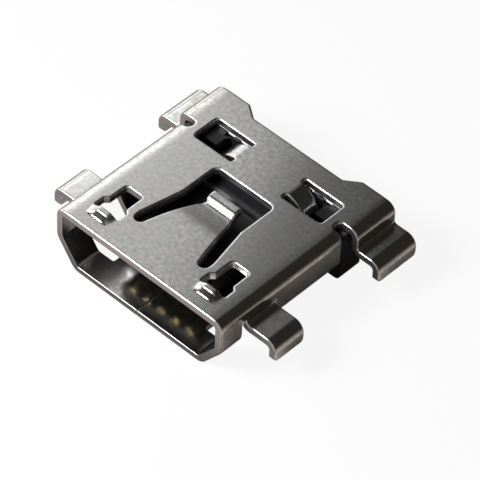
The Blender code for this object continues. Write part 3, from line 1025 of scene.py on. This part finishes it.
    def outer_edge(self) -> list[Corner]:
        """The blank's outline: lip, seam, rear edges, notches, rear legs and ears.

        Returns:
            Corners with the material on the left.
        """
        tip = self.rear_leg.length
        back = [(self.notch, self.wall_depth, self.notch_radius),
                (self.notch, self.notch_end, self.notch_radius),
                (tip, self.notch_end, self.leg_tip_corner),
                (tip, self.overall_depth, self.leg_tip_corner),
                (self.ear_inner, self.overall_depth, self.ear_corner),
                (self.ear_inner - self.ear_slant, self.plate_depth, self.ear_corner)]
        return self.seam_edge(True) + mirrored(back) + self.seam_edge(False)

    def side_cut(self) -> list[Corner]:
        """The hole in a side, with the front leg standing in it.

        Returns:
            Corners with the material on the left.
        """
        small, wide = self.side_cut_corner, self.leg_tip_corner
        tip, top, far = self.front_leg.length, self.cut_top, self.cut_far
        return [(top, self.cut_start, small), (top, self.front_leg_start, small),
                (tip, self.front_leg_start, wide), (tip, self.leg_end, wide),
                (top, self.leg_end, small), (top, self.cut_end, small),
                (far, self.cut_end, small), (far, self.cut_start, small)]

    def latch_window(self) -> list[Corner]:
        """Window for the plug's hook: wide in front, stepped in behind.

        Returns:
            Corners with the material on the left.
        """
        wide = self.latch_width / 2
        narrow = wide - self.latch_step
        start = self.latch_front + self.latch_wide_length - self.latch_step / 2
        rear = self.latch_front + self.latch_wide_length + self.latch_narrow_length
        small = self.small_corner
        right = [(wide, self.latch_front, small / 2), (wide, start, small / 2),
                 (narrow, start + self.latch_step, small), (narrow, rear, self.latch_corner)]
        return shifted(mirrored(right), self.latch_middle)[::-1]

    def rear_window(self) -> list[Corner]:
        """Window over the housing, with its locking tab standing in it.

        Returns:
            Corners with the material on the left.
        """
        inner, outer = self.window_inner, self.window_outer
        front, rear = self.window_front, self.window_rear
        small, wide = self.small_corner, self.window_corner
        return [(inner, front, wide / 2), (inner, front + self.tab_notch, small),
                (self.tab.length, front + self.tab_notch, small),
                (self.tab.length, rear - self.tab_notch, small),
                (inner, rear - self.tab_notch, small), (inner, rear, wide / 2),
                (outer, rear, wide), (outer, front, wide)]

    def spring_slot(self) -> list[Corner]:
        """The gate-shaped slot round the spring.

        Returns:
            Corners with the material on the left.
        """
        toe, radius = self.slot_toe_depth, self.slot_toe_radius
        outside = self.spring_root_half + 2 * radius
        low = self.spring.ahead_of(2, 0.0)
        neck = low - (self.spring_low - self.spring_neck)
        end = self.spring.length
        spring = [(self.spring_tip_half, end, self.small_corner),
                  (self.spring_tip_half, low, self.slot_corner),
                  (self.spring_neck_half, neck, self.slot_corner),
                  (self.spring_root_half, self.root, 0.0)]
        slot = [(self.spring_root_half, toe, radius), (outside, toe, radius),
                (outside, toe + 2 * radius, radius), (self.slot_side, self.spring_neck, self.slot_corner),
                (self.slot_side, self.slot_end, self.slot_corner)]
        return (spring + slot + flipped(slot) + flipped(spring))[::-1]

    def lines(self) -> Array:
        """Points along the bends, closer than the bends turn, and over the humps.

        Returns:
            Rows of u and v.
        """
        def across(route: Route, corners: range, low_v: float, high_v: float) -> list[Array]:
            """Lattices over some bends of a route, on both sides.

            Args:
                route: the route.
                corners: numbers of its bends.
                low_v: where the strip that is bent starts.
                high_v: where it ends.

            Returns:
                Rows of u and v for each bend.
            """
            sets = []
            for corner in corners:
                start, end = route.bend(corner)
                turn = (end - start) * abs(route.curvature[2 * corner - 1])
                us = spaced(start, end, math.ceil(turn / BEND_TURN) + 2)
                sets.append(lattice(np.concatenate([us, -us]), np.arange(low_v, high_v, RIM_STEP)))
            return sets
        sets = across(self.tube, range(1, 5), 0.0, self.wall_depth)
        sets += across(self.front_leg, range(3, 5), self.front_leg_start, self.leg_end)
        sets += across(self.rear_leg, range(1, 5), self.notch_end, self.overall_depth)
        sets += across(self.tab, range(1, 3), self.window_front + self.tab_notch,
                       self.window_rear - self.tab_notch)
        for corner in range(1, 4):
            sets.append(lattice(np.arange(-self.slot_side, self.slot_side, RIM_STEP),
                                spaced(*self.spring.bend(corner), 6)))
        sets.append(lattice(np.linspace(-self.crease_half, self.crease_half, 36),
                            self.crease + np.arange(-4, 5) * self.crease_rows))
        half = self.hump_width / 2 + self.hump_margin
        us = np.arange(self.latch_middle - half, self.latch_middle + half, HUMP_STEP * 2)
        start = self.latch_front - self.hump_length
        calm = start + self.hump_detail
        vs = np.concatenate([np.arange(start - self.hump_lead, calm, HUMP_STEP),
                             np.arange(calm + 10 * HAIR, self.latch_front + 20 * HAIR, SLOPE_STEP)])
        sets.append(lattice(np.concatenate([us, -us]), vs))
        return np.unique(np.round(np.concatenate(sets), 3), axis=0)

    def hump(self, across: Array, v: Array) -> Array:
        """Height of the humps over the plate.

        Along v it is two soft steps with a slope under both, and across the hump it is a
        soft ramp at each end.

        Args:
            across: lengths across the plate from its middle.
            v: lengths from the lip.

        Returns:
            The heights.
        """
        def ramp(t: Array, soft: float) -> Array:
            """Rises from 0 to 1 as t does, rounded by soft at both ends."""
            return (np.sqrt(t * t + soft * soft) - np.sqrt((t - 1) ** 2 + soft * soft) + 1) / 2
        run = v - self.latch_front + self.hump_length
        slope = self.hump_length / 2
        steps = sum(ramp((run - start) / self.hump_step, self.hump_soft) for start in (0.0, slope))
        front = (self.hump_share * steps + (1 - 2 * self.hump_share)
                 * ramp(run / (slope + self.hump_step), self.slope_soft))
        inward = self.hump_width / 2 - np.abs(across - self.latch_middle)
        ends = ramp(inward / self.hump_side, self.end_soft)
        return np.where(v < self.latch_front + HAIR, self.hump_rise * front * ends, 0.0)

    def fold(self, flat: Array) -> Array:
        """Folds the blank: each point goes along the route of the strip that it is on.

        X and Z come from the route's point at length |u| plus w times its normal, and Y is
        v. On the spring, Y and Z come from its route at length v, and its groove is a bell
        curve of depth. Humps lift the plate.

        Args:
            flat: rows of u, v and w.

        Returns:
            Rows of x, y and z.
        """
        u, v, w = flat.T
        side, across = np.where(u < 0, -1.0, 1.0), np.abs(u)
        x, z, nx, nz = self.tube.at(across)
        y, ny = v.copy(), np.zeros(len(v))
        gap, notch = self.side_cut_gap / 2, self.tab_notch / 2

        def within(value: Array, start: float, end: float) -> Array:
            """Tells which values lie between two bounds."""
            return (value > start) & (value < end)
        front = (within(v, self.cut_start + gap, self.cut_end - gap)
                 & within(across, self.cut_top, (self.front_leg.length + self.cut_far) / 2))
        rear = v > self.wall_depth + self.notch_width / 2
        tab = (within(v, self.window_front + notch, self.window_rear - notch)
               & within(across, self.window_inner - HAIR, (self.tab.length + self.window_outer) / 2))
        for mask, route in ((front, self.front_leg), (rear, self.rear_leg), (tab, self.tab)):
            x[mask], z[mask], nx[mask], nz[mask] = route.at(across[mask])
        middle = np.interp(v, [self.root, self.spring_neck, self.spring_low],
                           [self.spring_root_half + self.slot_toe_radius,
                            (self.spring_neck_half + self.slot_side) / 2,
                            (self.spring_tip_half + self.slot_side) / 2])
        spring = (across < middle) & within(v, self.root, (self.spring.length + self.slot_end) / 2)
        y[spring], z[spring], ny[spring], nz[spring] = self.spring.at(v[spring])
        bell = np.exp(-((v[spring] - self.crease) / self.crease_width) ** 2)
        z[spring] -= self.crease_depth * bell * (w[spring] > 0)
        plate = (across < self.notch) & ~tab & ~spring
        z[plate] += self.hump(across[plate], v[plate])
        return np.column_stack([side * (x + w * nx), y + w * ny, z + w * nz])

    def build(self, steel: Material) -> Object:
        """Makes the shell.

        Args:
            steel: its finish.

        Returns:
            The piece.
        """
        holes = [self.side_cut(), self.latch_window(), self.rear_window()]
        outlines = [self.outer_edge(), self.spring_slot(), *holes, *map(flipped, holes)]
        blank = Blank(outlines, -self.sheet / 2, self.sheet / 2, self.inner_roll, self.edge_roll,
                      extra=self.lines())
        return settle(blank.folded("folded_shell", self.fold), "shell", steel)


@dataclass
class Housing:
    """The moulded insulator: a block behind the shell, a plug in its tube and the tongue."""

    half_width: float = 3.70
    bottom: float = 0.18
    top: float = 2.14
    front: float = 5.75
    rear: float = 6.77
    low_corner: float = 0.22
    top_corner: float = 0.10
    plug_face: float = 5.10
    plug_inset: float = 0.31
    tongue_front: float = 1.05
    tongue_half: float = 1.80
    tongue_top: float = 1.79
    tongue_bottom: float = 1.18
    tongue_nose: float = 0.13
    tongue_low_roll: float = 0.07
    tongue_high_roll: float = 0.117
    root_length: float = 0.35
    root_rise: float = 0.12
    edge: float = 0.035
    pocket_inner: float = 1.05
    pocket_outer: float = 2.24
    pocket_front: float = 5.68
    pocket_rear: float = 6.64
    pocket_floor: float = 1.56
    pocket_corner: float = 0.05
    vent_width: float = 0.33
    vent_places: tuple[float, float] = (1.62, 2.22)
    vent_length: float = 0.24
    vent_floor: float = 2.04
    vent_corner: float = 0.04
    overlap: float = 0.25
    tongue_lines: float = 1.7

    def block(self) -> Object:
        """Body behind the side walls, with rounded corners and edges.

        Returns:
            The object that the rest is joined to.
        """
        half, low, high = self.half_width, self.low_corner, self.top_corner
        corners = [(-half, self.bottom, low), (half, self.bottom, low), (half, self.top, high),
                   (-half, self.top, high)]
        blank = Blank([corners], -self.rear, -self.front, self.edge, self.edge)
        return blank.folded("insulator_housing", raised(Axis.Y))

    def plug(self, shell: Shell) -> Object:
        """Front of the housing, which fills the shell's tube.

        Args:
            shell: the shell round it.

        Returns:
            The object.
        """
        blank = Blank([inset(shell.section(), self.plug_inset)], -self.front - self.overlap,
                      -self.plug_face, 0.0, self.edge)
        return blank.folded("plug", raised(Axis.Y))

    def tongue(self) -> Object:
        """Blade that carries the contacts, thicker at its root.

        The root's rise is an even slope in depth, added to the top face alone.

        Returns:
            The object.
        """
        back = self.plug_face + self.overlap
        corners = box_corners(-self.tongue_half, self.tongue_half, self.tongue_front, back,
                              self.tongue_nose)
        root = self.plug_face - self.root_length
        rows = np.linspace(root - self.root_rise, root, 7)
        extra = lattice(np.linspace(-self.tongue_lines, self.tongue_lines, 18), rows)
        blank = Blank([corners], self.tongue_bottom, self.tongue_top, self.tongue_low_roll,
                      self.tongue_high_roll, extra=extra, steps=5)

        def place(flat: Array) -> Array:
            """Lifts the top face behind the slope.

            Args:
                flat: rows of u, v and w.

            Returns:
                Rows of x, y and z.
            """
            u, v, w = flat.T
            share = np.clip((v - rows[0]) / (rows[-1] - rows[0]), 0.0, 1.0)
            middle = (self.tongue_top + self.tongue_bottom) / 2
            high = np.clip((w - middle) / (self.tongue_top - middle), 0.0, 1.0)
            return np.column_stack([u, v, w + self.root_rise * high * share])
        return blank.folded("tongue", place)

    def well(self, span_u: tuple[float, float], span_v: tuple[float, float], floor: float,
             radius: float) -> Object:
        """Block that cuts a pocket with rounded corners down from the top face.

        Args:
            span_u: where it starts and ends in X.
            span_v: where it starts and ends in Y.
            floor: height of the pocket's floor.
            radius: of its corners.

        Returns:
            The object.
        """
        blank = Blank([box_corners(*span_u, *span_v, radius)], floor, self.top + self.overlap)
        return blank.folded("well", raised(Axis.Z))

    def build(self, shell: Shell, contacts: "Contacts", resin: Material) -> Object:
        """Joins the three parts, cuts the pockets, vents and contact channels.

        Args:
            shell: the shell, whose tube the plug fills.
            contacts: the contacts, which lie in the channels.
            resin: its finish.

        Returns:
            The piece.
        """
        body = self.block()
        for part in (self.plug(shell), self.tongue()):
            combine(body, part, "UNION")
        half, rear = self.vent_width / 2, (self.rear - self.vent_length, self.rear + self.overlap)
        for side in (-1, 1):
            span = sorted((side * self.pocket_inner, side * self.pocket_outer))
            combine(body, self.well(span, (self.pocket_front, self.pocket_rear), self.pocket_floor,
                                    self.pocket_corner), "DIFFERENCE")
            for place in self.vent_places:
                span = (side * place - half, side * place + half)
                combine(body, self.well(span, rear, self.vent_floor, self.vent_corner), "DIFFERENCE")
        for middle in contacts.places():
            combine(body, contacts.strip("channel", middle, contacts.slack), "DIFFERENCE")
        return settle(body, "insulator", resin)


@dataclass
class Contacts:
    """Five stamped contacts under the tongue, each stepping up to a solder tail."""

    count: int = 5
    pitch: float = 0.65
    width: float = 0.36
    sheet: float = 0.15
    front: float = 1.12
    tongue_level: float = 1.255
    tail_level: float = 1.425
    step_start: float = 5.95
    step_end: float = 6.25
    step_bend: float = 0.20
    tail_end: float = 7.72
    tip_corner: float = 0.10
    tail_corner: float = 0.05
    nose: float = 0.11
    roll: float = 0.022
    slack: float = 0.03

    def places(self) -> Array:
        """X of each contact's middle."""
        return (np.arange(self.count) - (self.count - 1) / 2) * self.pitch

    def strip(self, name: str, middle: float, slack: float = 0.0) -> Object:
        """A contact, or the channel it lies in.

        The blank's v runs along the route in Y and Z, and w along the route's normal. The
        front end's lower face rises along a quarter circle.

        Args:
            name: the object's name.
            middle: X of its middle.
            slack: how much larger the channel is all round.

        Returns:
            The folded strip.
        """
        route = Route([(self.front, self.tongue_level, 0.0),
                       (self.step_start, self.tongue_level, self.step_bend),
                       (self.step_end, self.tail_level, self.step_bend),
                       (self.tail_end, self.tail_level, 0.0)])
        half, corner = self.width / 2 + slack, self.tip_corner + slack
        end = route.length + slack
        corners = [(-half, -slack, corner), (half, -slack, corner),
                   (half, end, self.tail_corner), (-half, end, self.tail_corner)]
        rows = [spaced(*route.bend(bend), 5) for bend in (1, 2)]
        rows.append(np.linspace(SUPPORT, self.nose, 5))
        extra = lattice(np.linspace(-half, half, 5)[1:-1], np.concatenate(rows))
        roll = 0.0 if slack else self.roll
        thick = self.sheet / 2 + slack

        def place(flat: Array) -> Array:
            """Lays the strip along its route.

            Args:
                flat: rows of u, v and w.

            Returns:
                Rows of x, y and z.
            """
            u, v, w = flat.T
            y, z, ny, nz = route.at(v)
            near = np.clip(1 - v / self.nose, 0.0, 1.0)
            lift = self.nose * (1 - np.sqrt(1 - near * near)) * np.clip(0.5 - w / self.sheet, 0, 1)
            return np.column_stack([middle + u, y + w * ny, z + w * nz + lift * (slack == 0)])
        return Blank([corners], -thick, thick, roll, roll, extra=extra).folded(name, place)

    def build(self, gold: Material) -> None:
        """Makes the five contacts.

        Args:
            gold: their finish.
        """
        for number, middle in enumerate(self.places(), start=1):
            made = self.strip(f"contact_strip_{number}", middle)
            settle(made, f"contact_{number}", gold)


# Studio


@dataclass(frozen=True)
class Step:
    """A step of a value over a coordinate.

    Attributes:
        start: where it starts.
        end: where it ends.
        first: its value up to the start.
        last: its value past the end.
        smooth: whether it starts and ends softly.
    """

    start: float
    end: float
    first: float
    last: float
    smooth: bool = True

    def over(self, desk: Desk, value: Output, unit: float = 1.0) -> Output:
        """The step over a value, where a unit makes start and end millimetres.

        Args:
            desk: the desk of the material or world.
            value: the coordinate.
            unit: what one of its units is; MM where it is in metres.

        Returns:
            The step's output.
        """
        return desk.spread(value, self.first, self.last, self.start * unit, self.end * unit,
                           self.smooth)


def level_sheet(name: str, low: tuple[float, float], high: tuple[float, float], height: float,
                desk: Desk) -> Object:
    """Makes a level rectangle, which faces down where it is raised and up where it isn't.

    Args:
        name: its name.
        low: its lowest x and y.
        high: its highest x and y.
        height: its z.
        desk: the desk of its material.

    Returns:
        The object.
    """
    corners = [(u, v, height) for u, v, _ in box_corners(low[0], high[0], low[1], high[1])]
    mesh = bpy.data.meshes.new(name)
    face = (3, 2, 1, 0) if height > 0 else (0, 1, 2, 3)
    mesh.from_pydata((np.array(corners) * MM).tolist(), [], [face])
    mesh.materials.append(desk.owner)
    return linked(name, mesh)


@dataclass(frozen=True)
class Softbox:
    """A rectangular lamp that faces a point of the object.

    Attributes:
        place: its middle.
        aim: the point that it faces.
        width: its size across.
        height: its size along the other side.
        radiance: brightness of its face, where 1 is white.
    """

    name: str
    place: Triple
    aim: Triple
    width: float
    height: float
    radiance: float

    def build(self) -> None:
        """Makes the lamp; its power is the radiance times its area times pi."""
        lamp = bpy.data.lights.new(self.name, "AREA")
        lamp.shape = "RECTANGLE"
        lamp.size, lamp.size_y = self.width * MM, self.height * MM
        lamp.energy = self.radiance * math.pi * lamp.size * lamp.size_y
        holder = linked(self.name, lamp)
        holder.location = Vector(self.place) * MM
        toward = Vector(self.aim) - Vector(self.place)
        holder.rotation_euler = toward.to_track_quat("-Z", "Y").to_euler()
        holder.visible_camera = False


@dataclass(frozen=True)
class GlowCard:
    """A level card over the plate, whose glow fades across it as a soft lamp's does.

    The glow at a point is a ramp over p = x + slant y + offset, in millimetres, plus a
    smooth step over x - side_slant y. Both fade by a smooth step over y.

    Attributes:
        levels: pairs of p and glow, from left to right.
        side: what is added on the left.
        rear: share of the glow that is left at the back.
    """

    low: tuple[float, float] = (-22.0, 0.0)
    high: tuple[float, float] = (2.0, 26.0)
    height: float = 14.45
    slant: float = 0.33
    offset: float = 5.98
    levels: tuple[tuple[float, float], ...] = (
        (-9.0, 0.72), (-4.0, 0.72), (-3.0, 0.72), (-2.0, 0.70), (-1.0, 0.68), (0.0, 0.67),
        (1.0, 0.64), (1.6, 0.54), (2.2, 0.41), (3.0, 0.25), (4.0, 0.19), (5.0, 0.165),
        (6.5, 0.14), (9.0, 0.02))
    rear: Step = Step(13.2, 15.8, 1.0, 0.22)
    side_slant: float = 0.05
    side: Step = Step(-14.3, -13.6, 1.45, 0.0)

    def build(self) -> None:
        """Makes the card, unseen by the camera."""
        desk = Desk(bpy.data.materials.new("glow_card"))
        parts = desk.parts(desk.place)
        across = desk.math("MULTIPLY_ADD", parts["Y"], self.slant, parts["X"])
        first, last = self.levels[0][0], self.levels[-1][0]
        place = desk.spread(across, 0.0, 1.0, (first - self.offset) * MM,
                            (last - self.offset) * MM)
        ramp = desk.add("ShaderNodeValToRGB", Fac=place)
        stops = ramp.color_ramp.elements
        for index, (p, glow) in enumerate(self.levels):
            share = (p - first) / (last - first)
            stop = stops[index] if index < 2 else stops.new(share)
            stop.position = share
            stop.color = (glow, glow, glow, 1)
        west = desk.math("MULTIPLY_ADD", parts["Y"], -self.side_slant, parts["X"])
        level = desk.math("ADD", ramp.outputs["Color"], self.side.over(desk, west, MM))
        level = desk.math("MULTIPLY", level, self.rear.over(desk, parts["Y"], MM))
        desk.one_sided(desk.glow(level))
        card = level_sheet("glow_card", self.low, self.high, self.height, desk)
        card.visible_camera = card.visible_diffuse = False


@dataclass
class Studio:
    """Pale floor, soft lamps, dim surroundings on the right and the camera.

    Attributes:
        floor_half: half the floor's side.
        floor_colour: its colour, which mirrors and matt surfaces get a share of.
        floor_level: that share.
        painted_floor_shading: what it is multiplied by over X or Y, which only mirrors and
            matt surfaces see: a painted shadow just ahead of the lip, and painted light
            beside the right legs.
        shade_colour: the part of what the camera sees that takes the object's shadow.
        camera_white: the rest, which glows.
        glossy_white: share of plain white that mirrors see.
        dim: light of the surroundings on the right.
        dim_colour: their colour, which goes white over dim_span.
        left: light that is added on the left.
        low: share of that by height.
        front: light that is added in front.
        fill: share of the surroundings that lights matt surfaces.
        aim: the point that the camera is turned round.
        aside: how far it is moved to its right and up.
    """

    floor_half: float = 300.0
    floor_colour: Triple = (0.90, 0.82, 0.756)
    floor_level: float = 0.556
    # Painted shade and light on the floor, seen only by mirrors and matt surfaces: a painted shadow just
    # ahead of the lip with paler floor further ahead, and painted light beside the right legs that is a
    # little darker further out.
    painted_floor_shading: tuple[tuple[Axis, Step], ...] = (
        (Axis.Y, Step(-5.5, -4.5, 1.3, 0.38)), (Axis.Y, Step(-4.0, -3.9, 1.0, 1 / 0.38, False)),
        (Axis.X, Step(5.2, 5.6, 1.0, 1.8)), (Axis.X, Step(7.0, 9.5, 1.0, 0.75 / 1.8)))
    shade_colour: Triple = (0.12, 0.12, 0.12)
    camera_white: float = 0.90
    glossy_white: float = 0.02
    dim: float = 0.031
    dim_colour: Triple = (1.0, 0.86, 0.74)
    dim_span: float = 0.2
    left: Step = Step(-0.85, -0.40, 1.5, 0.0)
    low: Step = Step(0.30, 0.75, 1.0, 0.0)
    front: Step = Step(-0.60, -0.05, 0.40, 0.0)
    fill: float = 0.25
    card: GlowCard = GlowCard()
    azimuth: float = 41.47
    elevation: float = 46.38
    roll: float = 2.82
    distance: float = 125.2
    aim: Triple = (0.0, 0.0, 1.2)
    aside: tuple[float, float] = (0.604, -0.333)
    lens: float = 284.1
    softboxes: tuple[Softbox, ...] = (
        Softbox("key_box", (-30.0, -44.5, 45.5), (0.0, 0.0, 1.0), 30.0, 30.0, 18.0),
    )

    def floor(self) -> None:
        """Level sheet, white to the camera, which keeps the object's shadow."""
        desk = Desk(bpy.data.materials.new("floor"))
        parts = desk.parts(desk.place)
        share = self.floor_level
        # Painted shade and light: the floor's grey is darkened just ahead of the lip and lightened beside
        # the right legs.
        for axis, step in self.painted_floor_shading:
            share = desk.math("MULTIPLY", step.over(desk, parts[axis.value], MM), share)
        painted_floor_grey = desk.matt(desk.blend(share, (0.0, 0.0, 0.0), self.floor_colour))
        path = desk.add("ShaderNodeLightPath").outputs
        other = desk.cover(desk.math("MULTIPLY", path["Is Glossy Ray"], self.glossy_white),
                           painted_floor_grey, desk.glow(1.0))
        seen = desk.joined(desk.add("ShaderNodeAddShader"),
                           {0: desk.glow(self.camera_white), 1: desk.matt(self.shade_colour)})
        straight = desk.math("MAXIMUM", path["Is Camera Ray"], path["Is Transmission Ray"])
        desk.one_sided(desk.cover(straight, other, seen))
        half = self.floor_half
        floor = level_sheet("floor", (-half, -half), (half, half), 0.0, desk)

    def world(self) -> None:
        """White to the camera; elsewhere bright low on the left and in front, dim on the right.

        The light of a direction is a floor value, plus a smooth step towards -X that fades
        with height, plus a smooth step towards -Y. Matt surfaces get a share of it.
        """
        desk = Desk(bpy.data.worlds.new("surroundings"))
        bpy.context.scene.world = desk.owner
        parts = desk.parts(desk.direction)
        left = desk.math("MULTIPLY", self.left.over(desk, parts["X"]), self.low.over(desk, parts["Z"]))
        level = desk.math("ADD", left, self.front.over(desk, parts["Y"]))
        level = desk.math("ADD", level, self.dim)
        path = desk.add("ShaderNodeLightPath").outputs
        share = desk.math("MULTIPLY_ADD", path["Is Diffuse Ray"], self.fill - 1.0, 1.0)
        level = desk.math("MAXIMUM", desk.math("MULTIPLY", level, share), path["Is Camera Ray"])
        bright = desk.spread(level, 0.0, 1.0, self.dim, self.dim + self.dim_span)
        sky = desk.tree.nodes["Background"]
        desk.feed(sky.inputs["Strength"], level)
        desk.feed(sky.inputs["Color"], desk.blend(bright, self.dim_colour, (1.0, 1.0, 1.0)))

    def camera(self) -> None:
        """Camera at the photograph's viewing angle."""
        data = bpy.data.cameras.new("camera")
        data.sensor_width = 36.0
        data.lens = self.lens
        data.clip_start, data.clip_end = 0.01, 2.0
        holder = linked("camera", data)
        turn = (Matrix.Rotation(math.radians(self.azimuth), 3, "Z")
                @ Matrix.Rotation(math.radians(90.0 - self.elevation), 3, "X"))
        eye = Vector(self.aim) + turn @ Vector((*self.aside, self.distance))
        turn = turn @ Matrix.Rotation(math.radians(self.roll), 3, "Z")
        holder.matrix_world = Matrix.LocRotScale(eye * MM, turn.to_quaternion(), None)
        bpy.context.scene.camera = holder

    def build(self) -> None:
        """Sets up the whole studio."""
        self.floor()
        self.world()
        self.camera()
        self.card.build()
        for box in self.softboxes:
            box.build()
        bpy.context.scene.view_settings.view_transform = "Standard"


def main() -> None:
    """Builds the port, then the studio round it."""
    logging.basicConfig(level=logging.INFO, format="%(message)s")
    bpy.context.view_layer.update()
    shell, contacts = Shell(), Contacts()
    shell.build(PlatedSteel().material())
    Housing().build(shell, contacts, BlackResin().material())
    contacts.build(GoldPlate().material())
    Studio().build()


if __name__ == "__main__":
    main()
